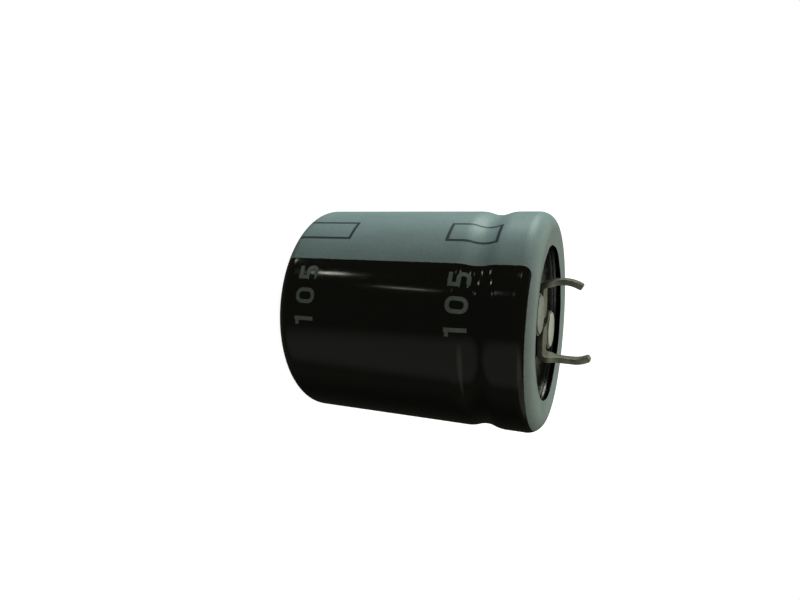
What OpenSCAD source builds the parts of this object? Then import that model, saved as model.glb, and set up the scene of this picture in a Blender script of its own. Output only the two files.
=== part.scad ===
// Snap-in aluminium electrolytic capacitor in a 30 x 35 mm case, bare of any marking.
// It stands on its closed end with the two solder terminals up. Sizes are in millimetres.
// Origin: the centre of the closed end, on the surface it stands on. +Z is the can's axis.
// The terminals lie along X, the negative one at -X.

/* [Can] */
// Outside diameter of the bare can
can_d = 30; // [26:0.5:40]
// Height of the bare can, from its base to the top of the curled rim
can_h = 34.6; // [30:0.2:60]
// Thickness of the can's drawn wall
can_t = 0.5; // [0.3:0.05:0.7]
// Thickness of the can's base
base_t = 0.8; // [0.6:0.05:1.2]
// Rounding of the corner between base and wall, outside
corner_r = 1.8; // [1.2:0.1:3]
// Rounding of the shoulder where the wall turns into the rim, outside
rim_r = 1.9; // [1.4:0.1:2.6]

/* [Bead groove] */
// Depth of the groove rolled into the wall
groove_depth = 0.5; // [0.3:0.05:0.8]
// Width of the groove, from wall to wall
groove_w = 5.4; // [4:0.1:6.5]
// Drop from the top of the rim to the middle of the groove
groove_drop = 7.15; // [6.6:0.05:8.5]

/* [Pressure vent] */
// Length of each of the vent's three scored arms
vent_arm = 8.5; // [5:0.5:10]
// Width of a score line at the surface
vent_w = 0.6; // [0.3:0.05:0.9]
// Depth of a score line
vent_depth = 0.4; // [0.2:0.05:0.5]

/* [Sleeve] */
// Thickness of the heat-shrunk film
sleeve_t = 0.2; // [0.1:0.02:0.3]
// Reach of the sleeve's free lip, inwards from the curl
lip_reach = 1; // [0.4:0.1:1.6]
// Width of the sleeve's fold on the flat of the base
base_lap = 1.5; // [0.8:0.1:2.5]
// Slope of the sleeve's free lip inside the rim, in degrees
lip_slope = 15; // [8:1:24]

/* [End seal] */
// Thickness of the hard laminate board
board_t = 2.5; // [1.8:0.1:2.8]
// Thickness of the rubber layer on the board
rubber_t = 1.25; // [0.8:0.05:1.6]
// Gap between the end seal and the wall
seal_gap = 0.1; // [0.05:0.05:0.25]

/* [Terminals] */
// Thickness of the terminals' tinned sheet
term_t = 0.8; // [0.5:0.05:1]
// Width of a blade, where it enters the circuit board
blade_w = 1.5; // [1:0.1:2]
// Width of a blade at its root
root_w = 3; // [2.4:0.1:3.6]
// Height of the wide root above the rubber
root_h = 1.4; // [1:0.1:2]
// Height of the taper from the wide root to the blade
taper_h = 0.8; // [0.4:0.1:1.2]
// Radius of the bend between foot and blade, at mid-thickness
bend_r = 0.8; // [0.6:0.05:1.1]
// Chamfer at a blade's tip
tip_chamfer = 0.35; // [0.1:0.05:0.5]
// Width of the foot's arm that runs to the rivet
arm_w = 3; // [2.4:0.1:3.6]
// Radius of the foot's eye, round the rivet
eye_r = 2.8; // [2.6:0.1:3.2]

/* [Negative blade] */
// Distance of the negative blade's root from the can's axis
neg_root = 5.5; // [5:0.1:6]
// Height of the negative blade's tip above the rubber
neg_h = 5.8; // [4.5:0.1:7]
// Outward bow of the negative blade at its belly
neg_bow = 0.35; // [0:0.05:0.6]
// Inward hook of the negative blade's tip, from its belly
neg_hook = 0.7; // [0:0.05:0.9]
// Place of the negative blade's belly, as a share of its free height
neg_belly = 0.48; // [0.3:0.02:0.7]

/* [Positive blade] */
// Distance of the positive blade's root from the can's axis
pos_root = 4.95; // [4.5:0.05:6]
// Height of the positive blade's tip above the rubber
pos_h = 7.05; // [4.5:0.05:8]
// Outward bow of the positive blade at its belly
pos_bow = 0.16; // [0:0.02:0.6]
// Inward hook of the positive blade's tip, from its belly
pos_hook = 0.6; // [0:0.05:0.9]
// Place of the positive blade's belly, as a share of its free height
pos_belly = 0.64; // [0.3:0.02:0.7]

/* [Rivets] */
// Distance of each rivet from the plane through the blades
rivet_y = 4.6; // [3.8:0.1:5]
// Distance of each rivet from the plane between the blades
rivet_x = 2.2; // [1.6:0.1:2.8]
// Radius of the rivet's shank
shank_r = 1.15; // [0.8:0.05:1.4]
// Radius of the rivet's outer head
head_r = 2.55; // [2:0.05:2.6]
// Height of the rivet's outer head
head_h = 0.4; // [0.3:0.05:0.7]
// Radius of the rivet's inner head
tail_r = 1.9; // [1.6:0.05:2.2]
// Height of the rivet's inner head
tail_h = 0.6; // [0.4:0.05:0.9]
// Radial clearance of what the shank passes through
rivet_fit = 0.03; // [0.01:0.01:0.06]
// Thickness of the washer under the board
washer_t = 0.5; // [0.3:0.05:0.8]
// Radius of the washer under the board
washer_r = 2.6; // [2.3:0.05:2.9]

/* [Wound element] */
// Gap between the wound element and the wall
element_gap = 0.8; // [0.6:0.05:1.5]
// Space between the wound element and the board, for the tabs
head_room = 5.4; // [4:0.1:6.5]
// Radius of the hole that the winding mandrel leaves
core_r = 1.75; // [1:0.05:2.5]
// Pitch of the turns that show at the element's ends
turn_pitch = 1.6; // [1.2:0.1:2.4]
// Depth of the step between foil and paper at the element's ends
turn_depth = 0.4; // [0.2:0.1:0.8]
// Thickness of the tape round the element
tape_t = 0.12; // [0.06:0.02:0.2]
// Width of the tape round the element
tape_w = 14; // [8:0.5:16]
// Thickness of the insulating disc under the element
disc_t = 0.4; // [0.2:0.05:0.8]
// Thickness of a lead tab
tab_t = 0.25; // [0.15:0.05:0.4]
// Width of a lead tab
tab_w = 4; // [3:0.1:4.6]
// Distance from the winding's outside in to the tab
tab_inset = 4; // [2.6:0.1:4.4]
// Depth that a tab runs into the winding
tab_sink = 4; // [2:0.5:8]
// Radius of the tab's fold, at mid-thickness
fold_r = 0.7; // [0.5:0.05:1]
// Clearance round the tab in the winding
tab_fit = 0.03; // [0.01:0.01:0.1]

/* [Hidden] */

$fn = 96;
arc_steps = 9;
blade_steps = 14;
skin = 0.01;

can_r = can_d / 2;
base_z = sleeve_t;
rim_z = base_z + can_h;

// The groove is three tangent arcs of one radius, which its depth and width set.
groove_z = rim_z - groove_drop;
groove_half = groove_w / 2;
groove_r = (pow(groove_depth, 2) + pow(groove_half, 2)) / (4 * groove_depth);
groove_turn = acos(1 - groove_depth / (2 * groove_r));

// The board rests where its edge meets the bead inside the can.
seal_r = can_r - can_t - seal_gap;
bead_r = groove_r - can_t;
board_z = groove_z + groove_half - sqrt(pow(bead_r, 2) - pow(bead_r - seal_gap, 2));
rubber_z = board_z + board_t;
seat_z = rubber_z + rubber_t;

// The curl turns from the rim's top down on to the rubber, and the sleeve's lip reaches past it.
curl_c = can_r - rim_r;
curl_r = rim_z - seat_z;
sleeve_top_r = curl_c - curl_r - lip_reach;
sleeve_base_r = can_r - corner_r - base_lap;

// Places of the wound element's parts, from the base up and from the board down.
disc_z = base_z + base_t;
element_z = disc_z + disc_t;
element_top = board_z - head_room;
element_r = can_r - can_t - element_gap;
wound_r = element_r - tape_t;
tab_reach = wound_r - tab_inset;
corner_in = corner_r - can_t;
disc_r = can_r - can_t - corner_in - seal_gap;
tab_z = board_z - washer_t - tab_t / 2;
rivet_d = norm([rivet_x, rivet_y]);
rivet_turn = atan2(rivet_y, rivet_x);

// Points of an arc about c, from angle a0 to a1.
function arc(c, r, a0, a1, n = arc_steps) =
    [for (i = [0:n]) let (a = a0 + (a1 - a0) * i / n) [c[0] + r * cos(a), c[1] + r * sin(a)]];

function reversed(p) = [for (i = [len(p) - 1:-1:0]) p[i]];

// The groove's outline, with the surface moved outwards by o.
function groove(o) = concat(
    arc([can_r - groove_r, groove_z - groove_half], groove_r + o, 0, groove_turn),
    arc([can_r - groove_depth + groove_r, groove_z], groove_r - o,
        180 + groove_turn, 180 - groove_turn),
    arc([can_r - groove_r, groove_z + groove_half], groove_r + o, -groove_turn, 0));

// The wall's outline from the groove to the curl's turn, with the surface moved out by o.
function wall_to_curl(o, curl_to) = concat(
    groove(o),
    arc([curl_c, rim_z - rim_r], rim_r + o, 0, 90),
    arc([curl_c, seat_z], curl_r + o, 90, curl_to));

// The lower corner's outline, where z0 is the base's surface there.
function corner(r, wall_r, z0) = arc([wall_r - r, z0 + r], r, -90, 0);

// Unit direction of a path at point i, from its neighbours.
function heading(p, i) = let (
    a = p[max(i - 1, 0)],
    b = p[min(i + 1, len(p) - 1)])
    (b - a) / norm(b - a);

// A path's points moved sideways by d.
function beside(p, d) = [for (i = [0:len(p) - 1]) let (h = heading(p, i)) p[i] + d * [-h[1], h[0]]];

// The outline of sheet metal t thick along a path.
function sheet(p, t) = concat(beside(p, t / 2), reversed(beside(p, -t / 2)));

// How far the blade stands from the axis at share s of its free height.
function blade_x(s, root, bow, hook, belly) = s < belly
    ? root + bow * (1 - pow(1 - s / belly, 2))
    : root + bow - hook * pow((s - belly) / (1 - belly), 2);

// Heat-shrunk film: over the base's corner, along the wall and groove, round the rim,
// and out over the seal as a free lip.
module sleeve() {
    lip_turn = 90 + lip_slope;
    lip_start = curl_c + (curl_r + sleeve_t) * cos(lip_turn);
    lip_len = (lip_start - sleeve_top_r) / cos(lip_slope);
    lip = lip_len * [-cos(lip_slope), -sin(lip_slope)];
    outer = wall_to_curl(sleeve_t, lip_turn);
    inner = wall_to_curl(0, lip_turn);
    color([0.06, 0.07, 0.06])
    rotate_extrude()
    polygon(concat(
        [[sleeve_base_r, 0]],
        corner(corner_r + sleeve_t, can_r + sleeve_t, 0),
        outer,
        [outer[len(outer) - 1] + lip, inner[len(inner) - 1] + lip],
        reversed(inner),
        reversed(corner(corner_r, can_r, base_z)),
        [[sleeve_base_r, base_z]]));
}

// One score line of the vent, from the axis outwards.
module vent_score() {
    translate([-vent_w / 2, 0, base_z])
    rotate([90, 0, 90])
    linear_extrude(vent_arm + vent_w / 2)
    polygon([[-vent_w / 2, -skin], [vent_w / 2, -skin], [0, vent_depth]]);
}

// Drawn cup with the bead groove rolled in, the rim curled over and the vent scored.
module can() {
    color([0.80, 0.81, 0.82])
    difference() {
        rotate_extrude()
        polygon(concat(
            [[0, base_z]],
            corner(corner_r, can_r, base_z),
            wall_to_curl(0, 180),
            reversed(wall_to_curl(-can_t, 180)),
            reversed(corner(corner_in, can_r - can_t, disc_z)),
            [[0, disc_z]]));
        for (i = [0:2])
            rotate([0, 0, 120 * i])
            vent_score();
    }
}

// Puts a child at both rivets, or at one of them: side -1 is negative, 1 is positive.
module at_rivet(side) {
    rotate([0, 0, rivet_turn + (side < 0 ? 180 : 0)])
    translate([rivet_d, 0, 0])
    children();
}

module rivet_hole(side, z0, h) {
    at_rivet(side)
    translate([0, 0, z0 - skin])
    cylinder(r = shank_r + rivet_fit, h = h + 2 * skin);
}

// Hard laminate disc that carries the rivets and rests on the bead.
module terminal_board() {
    color([0.36, 0.22, 0.12])
    difference() {
        translate([0, 0, board_z])
        cylinder(r = seal_r, h = board_t);
        for (side = [-1, 1])
            rivet_hole(side, board_z, board_t);
    }
}

// Rubber layer under the curl, with a bevel that clears the rim's inside.
module seal_rubber() {
    bevel = rubber_t / 2;
    color([0.05, 0.05, 0.05])
    difference() {
        rotate_extrude()
        polygon([
            [0, rubber_z],
            [seal_r, rubber_z],
            [seal_r, seat_z - bevel],
            [seal_r - bevel, seat_z],
            [0, seat_z]]);
        for (side = [-1, 1])
            rivet_hole(side, rubber_z, rubber_t);
    }
}

// The blade's front outline: wide root, taper, and a chamfered tip at height h.
module blade_front(h) {
    polygon([
        [-root_w / 2, 0],
        [root_w / 2, 0],
        [root_w / 2, root_h],
        [blade_w / 2, root_h + taper_h],
        [blade_w / 2, h - tip_chamfer],
        [blade_w / 2 - tip_chamfer, h],
        [tip_chamfer - blade_w / 2, h],
        [-blade_w / 2, h - tip_chamfer],
        [-blade_w / 2, root_h + taper_h],
        [-root_w / 2, root_h]]);
}

// Stamped terminal for the +X side: an eye under the rivet, an arm, a foot and a bent blade.
module terminal(root, h, bow, hook, belly) {
    foot_x = rivet_x;
    rise_z = term_t / 2 + bend_r;
    path = concat(
        [[foot_x, term_t / 2]],
        arc([root - bend_r, rise_z], bend_r, -90, 0),
        [for (i = [1:blade_steps]) let (s = i / blade_steps)
            [blade_x(s, root, bow, hook, belly), rise_z + (h - rise_z) * s]]);
    color([0.62, 0.61, 0.55])
    translate([0, 0, seat_z])
    difference() {
        union() {
            intersection() {
                translate([0, root_w / 2, 0])
                rotate([90, 0, 0])
                linear_extrude(root_w)
                polygon(sheet(path, term_t));
                rotate([90, 0, 90])
                linear_extrude(can_r)
                blade_front(h);
            }
            translate([foot_x, 0, 0])
            cylinder(d = root_w, h = term_t);
            translate([foot_x - arm_w / 2, 0, 0])
            cube([arm_w, rivet_y, term_t]);
            translate([rivet_x, rivet_y, 0])
            cylinder(r = eye_r, h = term_t);
        }
        translate([rivet_x, rivet_y, -skin])
        cylinder(r = shank_r + rivet_fit, h = term_t + 2 * skin);
    }
}

module terminal_negative() {
    rotate([0, 0, 180])
    terminal(neg_root, neg_h, neg_bow, neg_hook, neg_belly);
}

module terminal_positive() {
    terminal(pos_root, pos_h, pos_bow, pos_hook, pos_belly);
}

// Rivet through tab, washer, board, rubber and eye. Its outer head has a set mark in it.
module rivet(side) {
    eye_top = seat_z + term_t;
    tail_top = tab_z - tab_t / 2;
    edge = head_h / 3;
    mark_r = shank_r * 0.8;
    color([0.84, 0.85, 0.84])
    at_rivet(side)
    rotate_extrude()
    polygon([
        [0, tail_top - tail_h],
        [tail_r - edge, tail_top - tail_h],
        [tail_r, tail_top - tail_h + edge],
        [tail_r, tail_top],
        [shank_r, tail_top],
        [shank_r, eye_top],
        [head_r, eye_top],
        [head_r, eye_top + head_h - edge],
        [head_r - edge, eye_top + head_h],
        [mark_r, eye_top + head_h],
        [mark_r - edge, eye_top + head_h - edge],
        [0, eye_top + head_h - edge]]);
}

module rivet_negative() {
    rivet(-1);
}

module rivet_positive() {
    rivet(1);
}

// Washer between the tab and the board.
module washer(side) {
    color([0.78, 0.79, 0.80])
    at_rivet(side)
    translate([0, 0, board_z - washer_t])
    difference() {
        cylinder(r = washer_r, h = washer_t);
        translate([0, 0, -skin])
        cylinder(r = shank_r + rivet_fit, h = washer_t + 2 * skin);
    }
}

module washer_negative() {
    washer(-1);
}

module washer_positive() {
    washer(1);
}

// Lead tab: out of the winding, folded over and riveted under the washer.
module tab(side) {
    path = concat(
        [[rivet_d, tab_z]],
        arc([tab_reach - fold_r, tab_z - fold_r], fold_r, 90, 0),
        [[tab_reach, element_top - tab_sink]]);
    color([0.74, 0.75, 0.77])
    rotate([0, 0, rivet_turn + (side < 0 ? 180 : 0)])
    difference() {
        union() {
            translate([0, tab_w / 2, 0])
            rotate([90, 0, 0])
            linear_extrude(tab_w)
            polygon(sheet(path, tab_t));
            translate([rivet_d, 0, tab_z - tab_t / 2])
            cylinder(d = tab_w, h = tab_t);
        }
        translate([rivet_d, 0, tab_z - tab_t])
        cylinder(r = shank_r + rivet_fit, h = 2 * tab_t);
    }
}

module tab_negative() {
    tab(-1);
}

module tab_positive() {
    tab(1);
}

// Slot in the winding for one tab.
module tab_slot(side) {
    wide = tab_w + 2 * tab_fit;
    thick = tab_t + 2 * tab_fit;
    rotate([0, 0, rivet_turn + (side < 0 ? 180 : 0)])
    translate([tab_reach - thick / 2, -wide / 2, element_top - tab_sink - tab_fit])
    cube([thick, wide, tab_sink + 1]);
}

// Half a turn of the step between foil and paper, from radius r outwards.
module half_turn(r) {
    rotate_extrude(angle = 180)
    translate([r, 0])
    square([turn_pitch / 4, turn_depth + skin]);
}

// The turns that show at one end: half circles about two centres join into a spiral.
module turns() {
    first = core_r + turn_pitch;
    last = wound_r - turn_pitch;
    for (r = [first:turn_pitch:last]) {
        half_turn(r);
        translate([turn_pitch / 4, 0, 0])
        rotate([0, 0, 180])
        half_turn(r + turn_pitch / 4);
    }
}

// Roll of foils and paper, wound as one body and soaked with electrolyte.
module winding() {
    color([0.80, 0.74, 0.62])
    difference() {
        translate([0, 0, element_z])
        cylinder(r = wound_r, h = element_top - element_z);
        translate([0, 0, element_z - 1])
        cylinder(r = core_r, h = element_top - element_z + 2);
        translate([0, 0, element_top - turn_depth])
        turns();
        for (side = [-1, 1])
            tab_slot(side);
    }
}

module winding_tape() {
    mid_z = (element_z + element_top) / 2;
    color([0.92, 0.90, 0.82])
    translate([0, 0, mid_z - tape_w / 2])
    difference() {
        cylinder(r = element_r, h = tape_w);
        translate([0, 0, -1])
        cylinder(r = wound_r, h = tape_w + 2);
    }
}

module base_disc() {
    color([0.86, 0.82, 0.70])
    translate([0, 0, disc_z])
    cylinder(r = disc_r, h = disc_t);
}

sleeve();
can();
terminal_board();
seal_rubber();
terminal_negative();
terminal_positive();
rivet_negative();
rivet_positive();
washer_negative();
washer_positive();
tab_negative();
tab_positive();
winding();
winding_tape();
base_disc();
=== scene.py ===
import math

import bmesh
import bpy
from bpy.props import FloatProperty, FloatVectorProperty, PointerProperty
from mathutils import Matrix, Vector, noise


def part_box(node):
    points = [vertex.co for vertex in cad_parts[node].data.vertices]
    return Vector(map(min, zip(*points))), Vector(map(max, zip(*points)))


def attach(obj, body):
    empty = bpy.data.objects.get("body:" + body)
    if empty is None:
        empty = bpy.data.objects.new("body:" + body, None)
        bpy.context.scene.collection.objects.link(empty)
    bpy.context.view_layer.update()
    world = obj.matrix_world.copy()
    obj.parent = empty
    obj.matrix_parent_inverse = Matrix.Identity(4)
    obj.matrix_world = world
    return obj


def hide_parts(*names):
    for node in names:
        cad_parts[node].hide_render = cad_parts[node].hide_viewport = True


bl_info = {
    "name": "Snap-in capacitor",
    "version": (1, 0, 0),
    "blender": (4, 5, 0),
    "location": "3D View > Sidebar > Capacitor",
    "description": "Dresses the frame of a snap-in electrolytic capacitor: film, print, metal and seal",
    "category": "Object",
}

MM = 0.001
BLACK = (0.0, 0.0, 0.0)
WHITE = (1.0, 1.0, 1.0)

# Numbers of a Mix node's colour sockets.
MIX_FIRST, MIX_SECOND, MIX_RESULT = 6, 7, 2

# Steps round or along the pieces.
FILM_SEGMENTS = 288
RIVET_SEGMENTS = 96
BORE_SEGMENTS = 64
BLADE_STEPS = 60

# The print's edges blur by this much to either side, and the marks' corners are rounded, in mm.
PRINT_BLUR = 0.035
MARK_CORNER = 0.12

FILM_IOR = 1.5

# A blade's first points keep the root's width. Its last rings thin down to this share of the sheet.
FLAT_POINTS = 7
TIP_RINGS = 3
TIP_THICKNESS = 0.72

# Rounding of a rivet's edges, fall of its outer head to the edge, and depth of the tool's mark.
RIVET_EDGE = 0.13 * MM
RIVET_CROWN = 0.16 * MM
RIVET_DIP = 0.06 * MM

# Place of the camera in mm, its turn in degrees, and the side of the two lamps in metres.
CAMERA_AT = (-20.69, -79.512, 46.733)
CAMERA_TURN = (-8.505, -66.913, 85.927)
LAMP_SIDE = 0.2

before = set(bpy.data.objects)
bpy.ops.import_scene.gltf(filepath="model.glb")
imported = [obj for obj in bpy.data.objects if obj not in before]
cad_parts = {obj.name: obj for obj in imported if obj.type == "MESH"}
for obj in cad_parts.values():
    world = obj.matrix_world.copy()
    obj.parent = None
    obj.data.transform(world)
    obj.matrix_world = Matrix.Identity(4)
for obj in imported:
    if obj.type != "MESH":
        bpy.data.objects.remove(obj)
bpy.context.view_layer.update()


def node_radius(name):
    """Outside radius of a CAD node that stands on the axis."""
    low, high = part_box(name)
    return max(-low.x, -low.y, high.x, high.y)


# The frame gives the places that the pieces start from.
SLEEVE_R = node_radius("sleeve")
CAN_R = node_radius("can")
FILM_T = SLEEVE_R - CAN_R
RIM_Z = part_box("can")[1].z
SEAT_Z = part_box("seal_rubber")[1].z
RIVET_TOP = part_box("rivet_positive")[1].z
RIVET_AT = sum(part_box("rivet_positive"), Vector()) / 2


def length(name, description, default):
    """A length that a user may change. Its default is given in millimetres."""
    return FloatProperty(
        name=name, description=description, default=default * MM, min=0.0,
        subtype="DISTANCE", unit="LENGTH", precision=5)


def angle(name, description, degrees):
    """An angle that a user may change. Its default is given in degrees."""
    return FloatProperty(
        name=name, description=description, default=math.radians(degrees),
        subtype="ANGLE", unit="ROTATION")


def share(name, description, default):
    """A value from 0 to 1 that a user may change."""
    return FloatProperty(
        name=name, description=description, default=default, min=0.0, max=1.0, subtype="FACTOR")


def power(name, description, default):
    """A lamp's power in watts that a user may change."""
    return FloatProperty(name=name, description=description, default=default, unit="POWER")


def linear(level):
    """One channel from 0 to 255 as a screen shows it, as a linear value."""
    c = level / 255
    return c / 12.92 if c <= 0.04045 else ((c + 0.055) / 1.055) ** 2.4


def colour(name, description, red, green, blue):
    """A colour that a user may change. Its default is given as a screen shows it."""
    return FloatVectorProperty(
        name=name, description=description, size=3, min=0.0, max=1.0, subtype="COLOR",
        default=(linear(red), linear(green), linear(blue)))


class FilmSizes(bpy.types.PropertyGroup):
    """Shape of the heat-shrunk film."""

    groove_depth: length("Groove depth", "Depth of the bead groove", 0.5)
    groove_width: length("Groove width", "Width of the bead groove", 5.4)
    groove_drop: length("Groove drop", "From the rim's top to the middle of the groove", 7.15)
    corner: length("Base corner", "Rounding between base and wall on the can", 1.8)
    shoulder: length("Shoulder", "Rounding between wall and rim on the can", 1.9)
    lip_reach: length("Lip reach", "Reach of the free lip inwards from the curl", 0.95)
    base_lap: length("Base lap", "Width of the film's fold on the base", 1.5)
    lip_slope: angle("Lip slope", "Slope of the free lip", 7)
    wave: length("Wall wave", "Depth of the film's slow waves on the wall", 0.006)
    pucker: length("Puckers", "Depth of the film's puckers at the base corner", 0.03)
    lip_wave: length("Lip wave", "How far the lip's edge wanders", 0.13)


class PrintSizes(bpy.types.PropertyGroup):
    """Places of the print on the film."""

    stripe_half: angle("Stripe", "Half of the angle that the negative stripe covers", 50.2)
    ring_height: length("Rim ring", "Height of the printed ring below the rim's top", 0.52)
    ring_skew: length("Ring skew", "How far the ring's lower edge runs out of square", 0.25)
    ring_corner: length("Ring corner", "Rounding of the black field's corner at the ring", 1.0)
    line: length("Line", "Width of the lines of the marks", 0.42)
    mark_at: angle("Mark row", "Angle of each row of marks from the stripe's middle", 29.5)
    mark_width: length("Mark width", "Width of a mark round the can", 4.0)
    mark_length: length("Mark length", "Length of a mark along the can", 6.85)
    mark_top: length("Mark top", "Top of the upper mark above the base", 29.6)
    mark_step: length("Mark step", "Step from mark to mark along the can", 20.4)
    field_start: angle("Numbers", "Angle where the numbers start, from the stripe's middle", 86.3)
    field_top: length("Number base line", "Base line of the upper numbers above the base", 27.2)
    field_step: length("Number step", "Step from number to number along the can", 21.1)
    digit_height: length("Digit height", "Height of a digit", 2.8)
    digit_width: length("Digit width", "Width of a digit", 2.1)
    digit_pitch: length("Digit pitch", "Step from digit to digit", 3.18)
    stroke: length("Digit stroke", "Width of a digit's stroke", 0.52)


class FilmColours(bpy.types.PropertyGroup):
    """Colours of the film and its print."""

    black: colour("Film", "Black film", 12, 12, 9)
    stripe: colour("Stripe", "Printed stripe and ring", 152, 177, 171)
    line: colour("Marks", "Lines of the marks on the stripe", 40, 49, 55)
    digit: colour("Numbers", "Numbers on the black field", 121, 137, 127)
    gloss: share("Film roughness", "Roughness of the bare film", 0.07)
    print_gloss: share("Print roughness", "Roughness of the printed film", 0.36)


class BladeSizes(bpy.types.PropertyGroup):
    """Sizes that both stamped terminals share."""

    sheet: length("Sheet", "Thickness of the tinned sheet", 0.8)
    width: length("Blade width", "Width of a blade", 1.5)
    root_width: length("Root width", "Width of a blade's root", 3.0)
    root_height: length("Root height", "Height of the wide root", 1.4)
    taper: length("Taper", "Height of the taper above the root", 1.2)
    bend: length("Bend", "Radius of the bend at mid-thickness", 0.8)
    tip: length("Tip", "Chamfer at the tip", 0.35)
    arm: length("Arm", "Width of the arm that runs to the rivet", 3.0)
    eye: length("Eye", "Radius of the eye round the rivet", 2.8)
    bore: length("Bore", "Radius of the eye's bore", 1.18)
    edge: length("Edge", "Rounding of the stamped edges", 0.09)
    voxel: length("Voxel", "Voxel that joins the stamping's parts into one mesh", 0.06)


class NegativeBlade(bpy.types.PropertyGroup):
    """Form of the negative blade."""

    root: length("Root", "Distance of the root from the can's axis", 5.5)
    height: length("Height", "Height of the tip above the rubber", 5.8)
    bow: length("Bow", "Outward bow at the belly", 0.35)
    hook: length("Hook", "Inward hook of the tip from the belly", 0.7)
    belly: share("Belly", "Place of the belly as a share of the free height", 0.48)


class PositiveBlade(bpy.types.PropertyGroup):
    """Form of the positive blade."""

    root: length("Root", "Distance of the root from the can's axis", 4.95)
    height: length("Height", "Height of the tip above the rubber", 7.05)
    bow: length("Bow", "Outward bow at the belly", 0.16)
    hook: length("Hook", "Inward hook of the tip from the belly", 0.6)
    belly: share("Belly", "Place of the belly as a share of the free height", 0.64)


class RivetSizes(bpy.types.PropertyGroup):
    """Sizes of the pressed rivets."""

    head: length("Head radius", "Radius of the outer head", 2.55)
    head_height: length("Head height", "Height of the outer head", 0.4)
    shank: length("Shank radius", "Radius of the shank", 1.15)
    tail: length("Tail radius", "Radius of the inner head", 1.9)
    tail_height: length("Tail height", "Height of the inner head", 0.6)
    mark: length("Set mark", "Radius of the setting tool's mark", 0.92)


class MetalColours(bpy.types.PropertyGroup):
    """Colours of metal and seal."""

    tin: colour("Tinned sheet", "Dull tin on the terminals", 190, 188, 178)
    rivet: colour("Rivets", "Pressed aluminium", 226, 230, 230)
    can: colour("Can", "Drawn aluminium", 222, 224, 226)
    rubber: colour("Rubber", "Rubber on the seal", 19, 16, 13)
    board: colour("Board", "Paper laminate", 104, 66, 40)
    foil: colour("Foil", "Lead tabs", 208, 210, 213)
    paper: colour("Paper", "Soaked winding paper", 212, 200, 168)
    tape: colour("Tape", "Tape round the winding", 232, 226, 204)


class StageSizes(bpy.types.PropertyGroup):
    """Camera, lamps and floor."""

    lens: length("Lens", "Focal length of the camera, for a 36 mm sensor", 26.235)
    key: power("Key lamp", "Power of the key lamp", 0.95)
    fill: power("Fill lamp", "Power of the fill lamp", 0.2)
    sky: share("Sky", "Light of the surroundings on matte surfaces", 0.1)
    room: share("Room", "Light of the surroundings in reflections", 1.0)
    floor: share("Floor shade", "How strongly the floor keeps its shadow", 0.5)


def arc(centre, radius, start, end, steps):
    """Points of an arc about centre, from angle start to angle end in degrees."""
    turns = [math.radians(start + (end - start) * i / steps) for i in range(steps + 1)]
    return [(centre[0] + radius * math.cos(a), centre[1] + radius * math.sin(a)) for a in turns]


def line_points(first, last, steps):
    """Points between first and last, without the two ends."""
    return [
        tuple(a + (b - a) * i / steps for a, b in zip(first, last))
        for i in range(1, steps)]


def new_object(name, data):
    """A new object in the scene."""
    thing = bpy.data.objects.new(name, data)
    bpy.context.scene.collection.objects.link(thing)
    return thing


def new_piece(name, mesh, node, slot, *materials):
    """Puts a mesh into the scene as a piece that stands for a CAD node."""
    piece = new_object(name, mesh)
    for material in materials:
        mesh.materials.append(material)
    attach(piece, "root")
    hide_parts(node)


def smooth(mesh, sharp_degrees):
    """Shades a mesh smooth, apart from edges sharper than the angle."""
    mesh.shade_smooth()
    mesh.set_sharp_from_angle(angle=math.radians(sharp_degrees))


def new_mesh(name, verts, faces):
    """A mesh from its corners and faces."""
    mesh = bpy.data.meshes.new(name)
    mesh.from_pydata(verts, [], faces)
    mesh.validate()
    mesh.update()
    return mesh


def revolve(name, outline, segments, shift):
    """A closed solid from a closed outline of (radius, z) points, each moved off its place by shift."""
    verts = []
    for i in range(segments):
        turn = 2 * math.pi * i / segments
        for k, (r, z) in enumerate(outline):
            dr, dz = shift(k, r, z, turn)
            verts.append(((r + dr) * math.cos(turn), (r + dr) * math.sin(turn), z + dz))
    count = len(outline)
    faces = []
    for i in range(segments):
        j = (i + 1) % segments
        for k in range(count):
            m = (k + 1) % count
            faces.append((i * count + k, j * count + k, j * count + m, i * count + m))
    return new_mesh(name, verts, faces)


def spindle(name, outline, segments):
    """A closed solid from an open outline of (radius, z) points that starts and ends on the axis."""
    verts = [(0.0, 0.0, outline[0][1])]
    ring = outline[1:-1]
    for i in range(segments):
        turn = 2 * math.pi * i / segments
        verts += [(r * math.cos(turn), r * math.sin(turn), z) for r, z in ring]
    verts.append((0.0, 0.0, outline[-1][1]))
    last, count = len(verts) - 1, len(ring)
    faces = []
    for i in range(segments):
        a = 1 + i * count
        b = 1 + (i + 1) % segments * count
        faces.append((0, b, a))
        faces += [(a + k, b + k, b + k + 1, a + k + 1) for k in range(count - 1)]
        faces.append((a + count - 1, b + count - 1, last))
    return new_mesh(name, verts, faces)


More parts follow.
